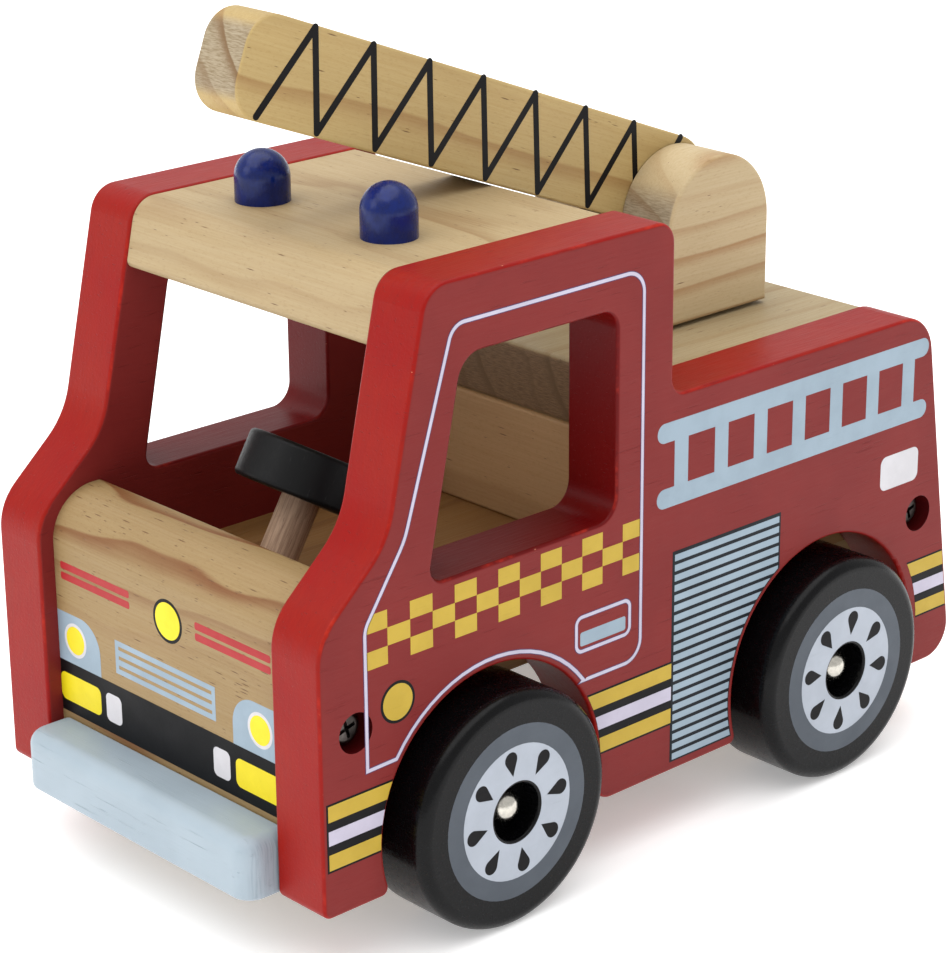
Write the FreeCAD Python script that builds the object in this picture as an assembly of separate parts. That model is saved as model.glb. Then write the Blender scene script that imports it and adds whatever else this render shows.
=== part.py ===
import FreeCAD, Part
import math
import os

# A wooden toy fire engine: two painted side panels with plain pine boards between them, four
# turned wheels on steel axles, a steering wheel, and a ladder that swivels and tilts on a fork.
# Millimetres. The vehicle faces -Y, its left side is +X and +Z is up. The origin is on the
# ground, under the middle of the body's length and width.

# ---- Driving dimensions ----
board = 14.0               # stock that the panels and boards are cut from
body_width = 102.0         # over the outer faces of the side panels
body_length = 193.0        # front of the bumper to the back of the side panels
wheel_radius = 25.0
wheel_width = 19.0
track_over_wheels = 115.2  # over the outer faces of the wheels
front_axle_y = -45.3
rear_axle_y = 52.9
sill_z = 14.6              # lower edge of the side panels, above the ground
roof_z = 133.8             # top edge of the side panels at the cab
deck_z = 97.6              # top edge of the side panels behind the cab
cab_rear_y = 4.3           # rear edge of the cab part of the side panels

half_width = body_width / 2
inner = half_width - board        # inner face of a side panel
front_y = -body_length / 2        # front of the bumper

# Side panels
panel_front_y = -89.2
panel_rear_y = 97.64              # where the leaning rear edge would meet the sill
rear_lean = 0.1494                # rearward run of the rear edge per mm of drop
bonnet_corner = (-89.2, 71.6)     # foot of the sloping bonnet edge
screen_foot = (-71.8, 87.1)       # where the bonnet slope meets the windscreen edge
screen_top_y = -61.3
screen_round = 6.2                # corner of the windscreen edge and the roof
arch_radius = 29.0
arch_mouth = 1.6                  # rounding where an arch meets the sill
middle_mouth = 4.5                # the softer rounding behind the front arch
panel_ease = 0.8                  # sanded edges
window_front_low = (-61.6, 75.5)
window_front_high = (-52.4, 118.8)
window_rear_y = -11.6

# Boards between the panels
seam = 0.3                        # boards end this far below the panels' top edges
front_board_y = -85.65            # front face of the bonnet board
front_board_top = 76.5
bonnet_round = 10.6
bumper_top = 27.9
bumper_bottom = 15.1
bumper_corner = 4.5               # rounding at its two ends
bumper_top_round = 3.2
floor_top = 57.3
deck_front_y = 6.15
deck_rear_y = 79.2
roof_front_inset = 0.5            # behind the panels' windscreen edges
roof_edge_round = 2.0
tail_inset = 0.9                  # rear face of the tail board, inside the panels' rear edge
axle_block_length = 18.0          # along Y
axle_block_bottom = 17.0

# Running gear
axle_radius = 2.0
running_gap = 0.06                # radial clearance of a turning fit
glue_gap = 0.02                   # radial clearance of a glued or pressed fit
hub_radius = 6.0
hub_depth = 5.5
tyre_shoulder = 2.6
cap_radius = 3.7
cap_height = 4.0
washer_thickness = 1.2
wheel_side_gap = 0.25

# Steering wheel
column_rake = math.radians(31.4)  # lean of the column towards the driver, from vertical
steering_centre = (-47.85, 80.3)   # middle of the wheel in Y and Z
steering_radius = 14.7
steering_thickness = 10.0
steering_ease = 1.1
steering_skin = 2.5               # wood left above the column's hole
column_radius = 4.1
column_depth = 9.0                # how far the column goes into the floor

# Turntable and ladder
turntable_y = 50.2
turntable_lift = 0.8              # the washer under the fork
fork_half_length = 15.65
fork_spring_z = 117.5             # where the round top of the cheeks begins
fork_gap = 13.2                   # between the cheeks
pivot_z = 124.6
pivot_radius = 3.0
ladder_thickness = 12.8
ladder_depth = 20.6
ladder_reach = 125.2              # pivot to tip
ladder_tip_round = 7.2
ladder_ease = 0.6
ladder_pitch = math.radians(20.9)
ladder_clearance = 0.2            # over the roof's rear edge, where the ladder rests
seat_radius = 10.8                # hollow in the fork block around the ladder's heel

# Beacons
beacon_radius = 5.7
beacon_heights = (10.6, 11.0)       # right and left, above the roof
beacon_y = -43.1
beacon_x = (-18.2, 20.2)          # right and left
tenon_radius = 3.0
tenon_length = 9.0

# Fasteners
side_screw_front = (-80.5, 51.2)
side_screw_rear = (83.7, 51.4)
counterbore_radius = 4.1
counterbore_depth = 5.0
dowel_radius = 3.0
dowel_half_length = 10.0
bumper_dowel_x = (-24.0, 24.0)
bumper_dowel_y = (front_board_y - 7.2, front_board_y + 8.2)
bumper_dowel_z = 21.5
side_screw_shank = 1.6
side_screw_length = 26.0
block_screw_shank = 1.6
block_screw_x = 22.0              # across the vehicle from its middle
block_screw_offset = 5.6          # ahead of or behind the axle
block_screw_recess = 3.6          # radius of the recess for the head
block_screw_sink = 4.0            # depth of that recess
block_screw_reach = 51.4          # height of the hole's end in the floor board
turntable_screw_shank = 2.0
turntable_screw_grip = 11.0       # length in the fork
pivot_socket = 8.0                # depth of the pivot's blind hole in each cheek

boards_half = inner - 0.02        # half length of the boards between the panels


def vec(x, y, z):
    return FreeCAD.Vector(x, y, z)


def tangent_edges(corners, place):
    """Edges of a closed outline. Each corner is (a, b, radius), rounded by a tangent arc."""
    points = [FreeCAD.Vector(a, b, 0) for a, b, _ in corners]
    starts, ends, arcs = [], [], []
    count = len(corners)
    for i in range(count):
        here, radius = points[i], corners[i][2]
        back = (points[i - 1] - here).normalize()
        ahead = (points[(i + 1) % count] - here).normalize()
        half = back.getAngle(ahead) / 2
        reach = radius / math.tan(half)
        bisector = (back + ahead).normalize()
        middle = here + bisector * (radius / math.sin(half) - radius)
        starts.append(here + back * reach)
        ends.append(here + ahead * reach)
        arcs.append(middle)
    edges = []
    for i in range(count):
        if corners[i][2] > 0:
            arc = Part.Arc(place(starts[i]), place(arcs[i]), place(ends[i]))
            edges.append(arc.toShape())
        following = starts[(i + 1) % count]
        if (following - ends[i]).Length > 1e-6:
            edges.append(Part.makeLine(place(ends[i]), place(following)))
    return edges


def side_profile(corners, x_from, x_to):
    """Solid with an outline drawn in Y and Z, from one X to another."""
    edges = tangent_edges(corners, lambda p: vec(x_from, p.x, p.y))
    face = Part.Face(Part.Wire(edges))
    return face.extrude(vec(x_to - x_from, 0, 0))


def box(x, y, z):
    """Box from its low and high limits along each axis."""
    return Part.makeBox(x[1] - x[0], y[1] - y[0], z[1] - z[0], vec(x[0], y[0], z[0]))


def rod(radius, start, end):
    """Cylinder between two points."""
    axis = end - start
    return Part.makeCylinder(radius, axis.Length, start, axis)


def turned(profile, origin, axis):
    """Solid of revolution. The profile is a closed list of (distance along axis, radius)."""
    points = [vec(a, 0, r) for a, r in profile]
    face = Part.Face(Part.makePolygon(points + points[:1]))
    solid = face.revolve(vec(0, 0, 0), vec(1, 0, 0), 360)
    solid.Placement = FreeCAD.Placement(origin, FreeCAD.Rotation(vec(1, 0, 0), axis))
    return solid


def ease(solid, radius, wanted):
    """Round the edges for which wanted(edge) is true."""
    return solid.makeFillet(radius, [edge for edge in solid.Edges if wanted(edge)])


def on_plane(axis, value):
    """Test for an edge that lies in a plane across the named axis."""
    def test(edge):
        low = getattr(edge.BoundBox, axis + "Min")
        high = getattr(edge.BoundBox, axis + "Max")
        return abs(low - value) < 1e-4 and abs(high - value) < 1e-4
    return test


def mirrored(solid):
    """The same piece on the other side of the vehicle."""
    return solid.mirror(vec(0, 0, 0), vec(1, 0, 0))


def screen_y(z):
    """Windscreen edge of the side panels at a height."""
    slope = (screen_top_y - screen_foot[0]) / (roof_z - screen_foot[1])
    return screen_top_y + slope * (z - roof_z)


def rear_edge_y(z):
    return panel_rear_y - rear_lean * (z - sill_z)


# ---- Side panels ----
def arch_cutter(centre_y, front_mouth, rear_mouth):
    """Wheel arch with its mouth flared into the sill by small tangent arcs."""
    def mouth(side, radius):
        drop = wheel_radius - sill_z - radius
        reach = math.sqrt((arch_radius + radius) ** 2 - drop ** 2)
        centre = FreeCAD.Vector(centre_y + side * reach, sill_z + radius, 0)
        hub = FreeCAD.Vector(centre_y, wheel_radius, 0)
        toward = (centre - hub).normalize()
        on_arch = hub + toward * arch_radius
        on_sill = FreeCAD.Vector(centre.x, sill_z, 0)
        between = ((on_arch - centre) + (on_sill - centre)).normalize() * radius + centre
        return on_sill, between, on_arch

    def place(p):
        return vec(inner - 1, p.x, p.y)

    front = [place(p) for p in mouth(-1, front_mouth)]
    rear = [place(p) for p in mouth(1, rear_mouth)]
    crown = vec(inner - 1, centre_y, wheel_radius + arch_radius)
    below = vec(0, 0, -5)
    edges = [
        Part.Arc(*front).toShape(),
        Part.Arc(front[2], crown, rear[2]).toShape(),
        Part.Arc(rear[2], rear[1], rear[0]).toShape(),
        Part.makeLine(rear[0], rear[0] + below),
        Part.makeLine(rear[0] + below, front[0] + below),
        Part.makeLine(front[0] + below, front[0]),
    ]
    return Part.Face(Part.Wire(edges)).extrude(vec(board + 2, 0, 0))


def dowel_holes(places, x_from, x_to):
    """Blind holes along X at the given (y, z) places."""
    radius = dowel_radius + glue_gap
    return [rod(radius, vec(x_from, y, z), vec(x_to, y, z)) for y, z in places]


def side_panel():
    outline = [
        (panel_front_y, sill_z, 2.0),
        (*bonnet_corner, 12.2),
        (*screen_foot, 18.4),
        (screen_top_y, roof_z, screen_round),
        (cab_rear_y, roof_z, 4.6),
        (cab_rear_y, deck_z, 3.5),
        (rear_edge_y(deck_z), deck_z, 9.6),
        (panel_rear_y, sill_z, 7.1),
    ]
    window = [
        (*window_front_low, 3.0),
        (*window_front_high, 6.0),
        (window_rear_y, window_front_high[1], 4.0),
        (window_rear_y, window_front_low[1], 5.0),
    ]
    panel = side_profile(outline, inner, half_width)
    panel = panel.cut(side_profile(window, inner - 1, half_width + 1))
    panel = panel.cut(arch_cutter(front_axle_y, arch_mouth, middle_mouth))
    panel = panel.cut(arch_cutter(rear_axle_y, arch_mouth, arch_mouth))
    panel = ease(panel, panel_ease, on_plane("X", half_width))
    panel = ease(panel, panel_ease, on_plane("X", inner))
    for y, z in (side_screw_front, side_screw_rear):
        mouth = vec(half_width + 1, y, z)
        panel = panel.cut(rod(counterbore_radius, mouth, vec(half_width - counterbore_depth, y, z)))
        panel = panel.cut(rod(1.7, mouth, vec(inner - 1, y, z)))
    for hole in dowel_holes(all_dowels, inner - 1, inner + dowel_half_length):
        panel = panel.cut(hole)
    return panel


# ---- Boards ----
roof_top = roof_z - seam
deck_top = deck_z - seam
deck_bottom = deck_top - board
floor_bottom = floor_top - board


def underside_z(y):
    """Height of the ladder's underside at rest."""
    foot_y = turntable_y - ladder_depth / 2 * math.sin(ladder_pitch)
    foot_z = pivot_z - ladder_depth / 2 * math.cos(ladder_pitch)
    return foot_z + (foot_y - y) * math.tan(ladder_pitch)


def roof_rear():
    """Rear end of the roof, placed so that the ladder just clears its rounded edge."""
    edge_z = roof_top - roof_edge_round
    wanted_z = edge_z + (roof_edge_round + ladder_clearance) / math.cos(ladder_pitch)
    edge_y = -(wanted_z - underside_z(0)) / math.tan(ladder_pitch)
    return edge_y + roof_edge_round


roof_rear_y = roof_rear()
roof_dowels = [(-46.0, roof_top - board / 2), (-19.0, roof_top - board / 2)]
floor_dowels = [(-17.0, floor_top - board / 2), (15.0, floor_top - board / 2)]
deck_dowels = [(25.0, deck_top - board / 2), (63.0, deck_top - board / 2)]
all_dowels = roof_dowels + floor_dowels + deck_dowels


def with_dowel_holes(solid, places):
    ends = ((-inner - 1, dowel_half_length - inner), (inner - dowel_half_length, inner + 1))
    for x_from, x_to in ends:
        for hole in dowel_holes(places, x_from, x_to):
            solid = solid.cut(hole)
    return solid


def roof_board():
    outline = [
        (screen_y(roof_top - board) + roof_front_inset, roof_top - board, 1.6),
        (screen_y(roof_top) + roof_front_inset, roof_top, screen_round - roof_front_inset),
        (roof_rear_y, roof_top, roof_edge_round),
        (roof_rear_y, roof_top - board, 1.6),
    ]
    solid = with_dowel_holes(side_profile(outline, -boards_half, boards_half), roof_dowels)
    for x in beacon_x:
        top = vec(x, beacon_y, roof_top + 1)
        bottom = vec(x, beacon_y, roof_top - tenon_length - 0.4)
        solid = solid.cut(rod(tenon_radius + glue_gap, top, bottom))
    return solid


def front_board():
    back_y = front_board_y + board
    outline = [
        (front_board_y, sill_z + 0.6, 1.0),
        (front_board_y, front_board_top, bonnet_round),
        (back_y, front_board_top, 2.2),
        (back_y, sill_z + 0.6, 1.0),
    ]
    solid = side_profile(outline, -boards_half, boards_half)
    y, z = side_screw_front
    solid = solid.cut(rod(side_screw_shank + glue_gap, vec(-inner - 1, y, z), vec(-17, y, z)))
    solid = solid.cut(rod(side_screw_shank + glue_gap, vec(17, y, z), vec(inner + 1, y, z)))
    for hole in bumper_dowel_holes():
        solid = solid.cut(hole)
    return solid


def tail_board():
    slant = board * math.sqrt(1 + rear_lean ** 2)
    bottom, top = sill_z + 1.5, deck_bottom
    back_low, back_high = rear_edge_y(bottom) - tail_inset, rear_edge_y(top) - tail_inset
    outline = [
        (back_low - slant, bottom, 1.0),
        (back_low, bottom, 1.0),
        (back_high, top, 1.0),
        (back_high - slant, top, 1.0),
    ]
    solid = side_profile(outline, -boards_half, boards_half)
    y, z = side_screw_rear
    solid = solid.cut(rod(side_screw_shank + glue_gap, vec(-inner - 1, y, z), vec(-17, y, z)))
    return solid.cut(rod(side_screw_shank + glue_gap, vec(17, y, z), vec(inner + 1, y, z)))


def floor_board():
    slant = board * math.sqrt(1 + rear_lean ** 2) + tail_inset + 0.05
    front = front_board_y + board + 0.05
    outline = [
        (front, floor_bottom, 0),
        (front, floor_top, 0),
        (rear_edge_y(floor_top) - slant, floor_top, 0),
        (rear_edge_y(floor_bottom) - slant, floor_bottom, 0),
    ]
    solid = with_dowel_holes(side_profile(outline, -boards_half, boards_half), floor_dowels)
    foot = column_point(column_foot() - 0.3)
    solid = solid.cut(rod(column_radius + running_gap, foot, column_point(0)))
    for axle_y in (front_axle_y, rear_axle_y):
        for x, y in block_screw_places(axle_y):
            hole = rod(block_screw_shank + glue_gap, vec(x, y, floor_bottom - 1), vec(x, y, block_screw_reach))
            solid = solid.cut(hole)
    return solid


def bulkhead_board():
    solid = box((-boards_half, boards_half), (deck_front_y, deck_front_y + board),
                (floor_top + 0.02, deck_bottom - 0.02))
    return ease(solid, 0.8, on_plane("Y", deck_front_y))


def deck_board():
    outline = [
        (deck_front_y, deck_bottom, 1.0),
        (deck_front_y, deck_top, 1.4),
        (deck_rear_y, deck_top, 1.6),
        (deck_rear_y, deck_bottom, 1.0),
    ]
    solid = with_dowel_holes(side_profile(outline, -boards_half, boards_half), deck_dowels)
    hole = rod(turntable_screw_shank + running_gap, vec(0, turntable_y, deck_bottom - 1),
               vec(0, turntable_y, deck_top + 1))
    return solid.cut(hole)


def bumper_dowel_holes():
    """Blind holes across the joint between the bumper and the front board."""
    end_gap = 0.3
    return [rod(dowel_radius + glue_gap, vec(x, bumper_dowel_y[0] - end_gap, bumper_dowel_z),
                vec(x, bumper_dowel_y[1] + end_gap, bumper_dowel_z)) for x in bumper_dowel_x]


def bumper():
    solid = box((-boards_half + 0.2, boards_half - 0.2), (front_y, front_board_y - 0.02),
                (bumper_bottom, bumper_top))

    def end_corner(edge):
        bounds = edge.BoundBox
        upright = bounds.ZLength > 5 and bounds.XLength < 1e-4
        return upright and abs(bounds.YMin - front_y) < 1e-4

    solid = ease(solid, bumper_corner, end_corner)

    def top_rim(edge):
        return on_plane("Z", bumper_top)(edge) and edge.BoundBox.YMin < front_board_y - 0.5

    def low_rim(edge):
        return on_plane("Z", bumper_bottom)(edge) and edge.BoundBox.YMin < front_board_y - 0.5

    solid = ease(solid, bumper_top_round, top_rim)
    solid = ease(solid, 1.0, low_rim)
    back_top = on_plane("Y", front_board_y - 0.02)
    solid = ease(solid, 0.8, lambda edge: back_top(edge) and on_plane("Z", bumper_top)(edge))
    for hole in bumper_dowel_holes():
        solid = solid.cut(hole)
    return solid


# ---- Axles and wheels ----
wheel_outer = track_over_wheels / 2
wheel_inner = wheel_outer - wheel_width
axle_end = wheel_outer - hub_depth + 2.0


def block_screw_places(axle_y):
    return [(-block_screw_x, axle_y + block_screw_offset), (block_screw_x, axle_y - block_screw_offset)]


def axle_block(axle_y):
    half = axle_block_length / 2
    solid = box((-boards_half, boards_half), (axle_y - half, axle_y + half),
                (axle_block_bottom, floor_bottom - 0.02))
    solid = ease(solid, 1.2, on_plane("Z", axle_block_bottom))
    bore = rod(axle_radius + glue_gap, vec(-inner - 1, axle_y, wheel_radius),
               vec(inner + 1, axle_y, wheel_radius))
    solid = solid.cut(bore)
    for x, y in block_screw_places(axle_y):
        solid = solid.cut(rod(block_screw_shank + glue_gap, vec(x, y, 0), vec(x, y, floor_bottom + 1)))
        solid = solid.cut(rod(block_screw_recess, vec(x, y, 0),
                              vec(x, y, axle_block_bottom + block_screw_sink)))
    return solid


def axle(axle_y):
    return rod(axle_radius, vec(-axle_end, axle_y, wheel_radius), vec(axle_end, axle_y, wheel_radius))


def wheel(axle_y):
    """Left wheel: a turned disc with round shoulders and a hub recess for the axle cap."""
    bore = axle_radius + running_gap
    solid = turned(
        [(0, bore), (0, wheel_radius), (wheel_width, wheel_radius), (wheel_width, hub_radius),
         (wheel_width - hub_depth, hub_radius), (wheel_width - hub_depth, bore)],
        vec(wheel_inner, axle_y, wheel_radius), vec(1, 0, 0))

    def rim(edge):
        return edge.BoundBox.ZLength > 2 * wheel_radius - 0.1 and edge.BoundBox.XLength < 0.01

    def hub_lip(edge):
        wide = abs(edge.BoundBox.ZLength - 2 * hub_radius) < 0.01
        return wide and abs(edge.BoundBox.XMin - wheel_outer) < 0.01

    return ease(ease(solid, tyre_shoulder, rim), 0.5, hub_lip)


def axle_cap(axle_y):
    """Domed steel cap pressed on the left end of an axle."""
    base = wheel_outer - hub_depth + 0.3
    flat = 0.9
    rise = cap_height - flat
    dome_radius = (cap_radius ** 2 + rise ** 2) / (2 * rise)
    body = rod(cap_radius, vec(base, axle_y, wheel_radius), vec(base + cap_height, axle_y, wheel_radius))
    dome_centre = vec(base + cap_height - dome_radius, axle_y, wheel_radius)
    solid = body.common(Part.makeSphere(dome_radius, dome_centre))
    socket = rod(axle_radius + glue_gap, vec(base - 1, axle_y, wheel_radius),
                 vec(axle_end + 0.05, axle_y, wheel_radius))
    return solid.cut(socket)


def wheel_washer(axle_y):
    start = vec(wheel_inner - wheel_side_gap - washer_thickness, axle_y, wheel_radius)
    end = start + vec(washer_thickness, 0, 0)
    return rod(6.0, start, end).cut(rod(axle_radius + running_gap, start - vec(1, 0, 0), end + vec(1, 0, 0)))


# ---- Steering ----
def column_point(distance):
    """Point on the steering column's axis, measured up from the middle of the wheel."""
    y, z = steering_centre
    return vec(0, y + distance * math.sin(column_rake), z + distance * math.cos(column_rake))


def column_foot():
    return (floor_top - steering_centre[1]) / math.cos(column_rake) - column_depth


def steering_column():
    top = steering_thickness / 2 - steering_skin - 0.1
    return rod(column_radius, column_point(column_foot()), column_point(top))


def steering_wheel():
    """Thick slice of dowel with a blind hole for the column."""
    half = steering_thickness / 2
    solid = ease(rod(steering_radius, column_point(-half), column_point(half)), steering_ease,
                 lambda edge: edge.Closed)
    hole_top = half - steering_skin
    return solid.cut(rod(column_radius + glue_gap, column_point(-half - 1), column_point(hole_top)))


# ---- Turntable and ladder ----
fork_bottom = deck_top + turntable_lift
cheek_inner = fork_gap / 2


def cheek():
    """Left cheek of the fork: a board with a half-round top."""
    y0, y1 = turntable_y - fork_half_length, turntable_y + fork_half_length
    x = cheek_inner
    edges = [
        Part.makeLine(vec(x, y0, fork_spring_z), vec(x, y0, fork_bottom)),
        Part.makeLine(vec(x, y0, fork_bottom), vec(x, y1, fork_bottom)),
        Part.makeLine(vec(x, y1, fork_bottom), vec(x, y1, fork_spring_z)),
        Part.Arc(vec(x, y1, fork_spring_z), vec(x, turntable_y, fork_spring_z + fork_half_length),
                 vec(x, y0, fork_spring_z)).toShape(),
    ]
    solid = Part.Face(Part.Wire(edges)).extrude(vec(board, 0, 0))
    solid = ease(solid, 0.9, on_plane("X", cheek_inner + board))
    socket = rod(pivot_radius + glue_gap, vec(0, turntable_y, pivot_z),
                 vec(cheek_inner + pivot_socket + 0.3, turntable_y, pivot_z))
    return solid.cut(socket)


def fork_block():
    """Middle layer of the fork, hollowed to clear the ladder's heel and its swing."""
    y0, y1 = turntable_y - fork_half_length, turntable_y + fork_half_length
    x = -cheek_inner + 0.02
    centre = vec(x, turntable_y, pivot_z)
    lower = centre + vec(0, -math.sin(ladder_pitch), -math.cos(ladder_pitch)) * seat_radius
    front_z = lower.z + (lower.y - y0) * math.tan(ladder_pitch)
    front_y_on_round = turntable_y - math.sqrt(fork_half_length ** 2 - (front_z - fork_spring_z) ** 2)
    front_top = vec(x, front_y_on_round, front_z)
    horn_y = turntable_y + seat_radius
    horn_z = fork_spring_z + math.sqrt(fork_half_length ** 2 - seat_radius ** 2)
    horn = vec(x, horn_y, horn_z)

    def on_round(angle):
        reach = math.radians(angle)
        return vec(x, turntable_y + fork_half_length * math.cos(reach),
                   fork_spring_z + fork_half_length * math.sin(reach))

    back = on_round(0)
    horn_angle = math.degrees(math.atan2(horn_z - fork_spring_z, seat_radius))
    front_angle = 180 - math.degrees(math.asin((front_z - fork_spring_z) / fork_half_length))
    front_foot = on_round(180)
    seat_middle = centre + vec(0, math.cos(math.radians(-50)), math.sin(math.radians(-50))) * seat_radius
    edges = [
        Part.makeLine(vec(x, y0, fork_bottom), vec(x, y1, fork_bottom)),
        Part.makeLine(vec(x, y1, fork_bottom), back),
        Part.Arc(back, on_round(horn_angle / 2), horn).toShape(),
        Part.makeLine(horn, vec(x, horn_y, pivot_z)),
        Part.Arc(vec(x, horn_y, pivot_z), seat_middle, lower).toShape(),
        Part.makeLine(lower, front_top),
        Part.Arc(front_top, on_round((front_angle + 180) / 2), front_foot).toShape(),
        Part.makeLine(front_foot, vec(x, y0, fork_bottom)),
    ]
    solid = Part.Face(Part.Wire(edges)).extrude(vec(fork_gap - 0.04, 0, 0))
    pilot = rod(turntable_screw_shank + glue_gap, vec(0, turntable_y, fork_bottom - 1),
                vec(0, turntable_y, fork_bottom + turntable_screw_grip + 0.3))
    return solid.cut(pilot)


def ladder():
    """Bar with a round heel about the pivot and a rounded tip, pitched up towards the front."""
    half = ladder_depth / 2
    x = -ladder_thickness / 2
    corner = half - ladder_tip_round
    reach = ladder_reach - ladder_tip_round
    diagonal = ladder_tip_round * math.sqrt(0.5)

    def at(s, n):
        return vec(x, -s, n)

    edges = [
        Part.Arc(at(0, half), at(-half, 0), at(0, -half)).toShape(),
        Part.makeLine(at(0, -half), at(reach, -half)),
        Part.Arc(at(reach, -half), at(reach + diagonal, -corner - diagonal), at(ladder_reach, -corner)).toShape(),
        Part.makeLine(at(ladder_reach, -corner), at(ladder_reach, corner)),
        Part.Arc(at(ladder_reach, corner), at(reach + diagonal, corner + diagonal), at(reach, half)).toShape(),
        Part.makeLine(at(reach, half), at(0, half)),
    ]
    solid = Part.Face(Part.Wire(edges)).extrude(vec(ladder_thickness, 0, 0))
    solid = ease(solid, ladder_ease, on_plane("X", x))
    solid = ease(solid, ladder_ease, on_plane("X", -x))
    solid = solid.cut(rod(pivot_radius + running_gap, vec(x - 1, 0, 0), vec(1 - x, 0, 0)))
    turn = FreeCAD.Rotation(vec(1, 0, 0), -math.degrees(ladder_pitch))
    solid.Placement = FreeCAD.Placement(vec(0, turntable_y, pivot_z), turn)
    return solid


def ladder_pivot():
    reach = cheek_inner + pivot_socket
    return rod(pivot_radius, vec(-reach, turntable_y, pivot_z), vec(reach, turntable_y, pivot_z))


def turntable_washer():
    low, high = vec(0, turntable_y, deck_top + 0.03), vec(0, turntable_y, fork_bottom)
    return rod(9.0, low, high).cut(rod(turntable_screw_shank + running_gap, low - vec(0, 0, 1), high + vec(0, 0, 1)))


def under_deck_washer():
    high = vec(0, turntable_y, deck_bottom - 0.05)
    low = high - vec(0, 0, 1.0)
    return rod(6.0, low, high).cut(rod(turntable_screw_shank + running_gap, low - vec(0, 0, 1), high + vec(0, 0, 1)))


# ---- Beacons ----
def beacon(x, height):
    """Dowel with a half-round top and a tenon below."""
    dome_z = roof_top + height - beacon_radius
    solid = rod(beacon_radius, vec(x, beacon_y, roof_top), vec(x, beacon_y, dome_z))
    solid = solid.fuse(Part.makeSphere(beacon_radius, vec(x, beacon_y, dome_z)).common(
        box((x - 10, x + 10), (beacon_y - 10, beacon_y + 10), (dome_z, dome_z + 10))))
    tenon = rod(tenon_radius, vec(x, beacon_y, roof_top - tenon_length), vec(x, beacon_y, roof_top))
    return solid.fuse(tenon).removeSplitter()


# ---- Fasteners ----
def screw(head, direction, head_radius, head_height, shank_radius, length):
    """Round-head wood screw with a cross recess. head is the outermost point of the head."""
    direction = direction.normalize()
    under_head = head + direction * head_height
    solid = Part.makeCylinder(head_radius, head_height, head, direction)
    solid = ease(solid, head_height * 0.45,
                 lambda edge: edge.Closed and edge.BoundBox.isInside(head))
    solid = solid.fuse(Part.makeCylinder(shank_radius, length, under_head, direction))
    side = direction.cross(vec(0, 1, 0.3)).normalize()
    other = direction.cross(side).normalize()
    for across, along in ((side, other), (other, side)):
        half_width_of_slot, half_length_of_slot = 0.4, head_radius * 0.62
        start = head - across * half_width_of_slot - along * half_length_of_slot
        corners = [start, start + across * (2 * half_width_of_slot)]
        corners.append(corners[1] + along * (2 * half_length_of_slot))
        corners.append(start + along * (2 * half_length_of_slot))
        face = Part.Face(Part.makePolygon(corners + corners[:1]))
        solid = solid.cut(face.extrude(direction * (head_height * 0.6)))
    return solid.removeSplitter()


def side_screws(place):
    y, z = place
    head_x = half_width - counterbore_depth + 2.3
    left = screw(vec(head_x, y, z), vec(-1, 0, 0), 3.4, 2.3, side_screw_shank, side_screw_length)
    return [left, mirrored(left)]


def block_screws(axle_y):
    head_z = axle_block_bottom + block_screw_sink - 2.4
    return [screw(vec(x, y, head_z), vec(0, 0, 1), 3.4, 2.4, block_screw_shank, 30.0)
            for x, y in block_screw_places(axle_y)]


def turntable_screw():
    head_z = deck_bottom - 1.1 - 2.6
    length = fork_bottom + turntable_screw_grip - (head_z + 2.6)
    return screw(vec(0, turntable_y, head_z), vec(0, 0, 1), 3.8, 2.6, turntable_screw_shank, length)


def dowel_set(places):
    left = [rod(dowel_radius, vec(inner - dowel_half_length + 0.3, y, z),
                vec(inner + dowel_half_length - 0.3, y, z)) for y, z in places]
    return left + [mirrored(solid) for solid in left]


def bumper_dowels():
    return [rod(dowel_radius, vec(x, bumper_dowel_y[0], bumper_dowel_z),
                vec(x, bumper_dowel_y[1], bumper_dowel_z)) for x in bumper_dowel_x]


def both_sides(solid):
    return [solid, mirrored(solid)]


# ---- Write one file per node ----
def build_nodes():
    left_panel = side_panel()
    left_cheek = cheek()
    nodes = {
        "left_side_panel": [left_panel],
        "right_side_panel": [mirrored(left_panel)],
        "front_board": [front_board()],
        "bumper": [bumper()],
        "roof_board": [roof_board()],
        "floor_board": [floor_board()],
        "bulkhead_board": [bulkhead_board()],
        "deck_board": [deck_board()],
        "tail_board": [tail_board()],
        "left_beacon": [beacon(beacon_x[1], beacon_heights[1])],
        "right_beacon": [beacon(beacon_x[0], beacon_heights[0])],
        "steering_wheel": [steering_wheel()],
        "steering_column": [steering_column()],
        "fork_left_cheek": [left_cheek],
        "fork_right_cheek": [mirrored(left_cheek)],
        "fork_block": [fork_block()],
        "ladder": [ladder()],
        "ladder_pivot_dowel": [ladder_pivot()],
        "turntable_washer": [turntable_washer()],
        "turntable_screw": [turntable_screw()],
        "turntable_screw_washer": [under_deck_washer()],
        "front_side_screws": side_screws(side_screw_front),
        "rear_side_screws": side_screws(side_screw_rear),
        "roof_dowels": dowel_set(roof_dowels),
        "floor_dowels": dowel_set(floor_dowels),
        "deck_dowels": dowel_set(deck_dowels),
        "bumper_dowels": bumper_dowels(),
    }
    for end, axle_y in (("front", front_axle_y), ("rear", rear_axle_y)):
        left_wheel = wheel(axle_y)
        nodes[end + "_left_wheel"] = [left_wheel]
        nodes[end + "_right_wheel"] = [mirrored(left_wheel)]
        nodes[end + "_axle"] = [axle(axle_y)]
        nodes[end + "_axle_block"] = [axle_block(axle_y)]
        nodes[end + "_axle_caps"] = both_sides(axle_cap(axle_y))
        nodes[end + "_wheel_washers"] = both_sides(wheel_washer(axle_y))
        nodes[end + "_block_screws"] = block_screws(axle_y)
    return nodes


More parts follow.
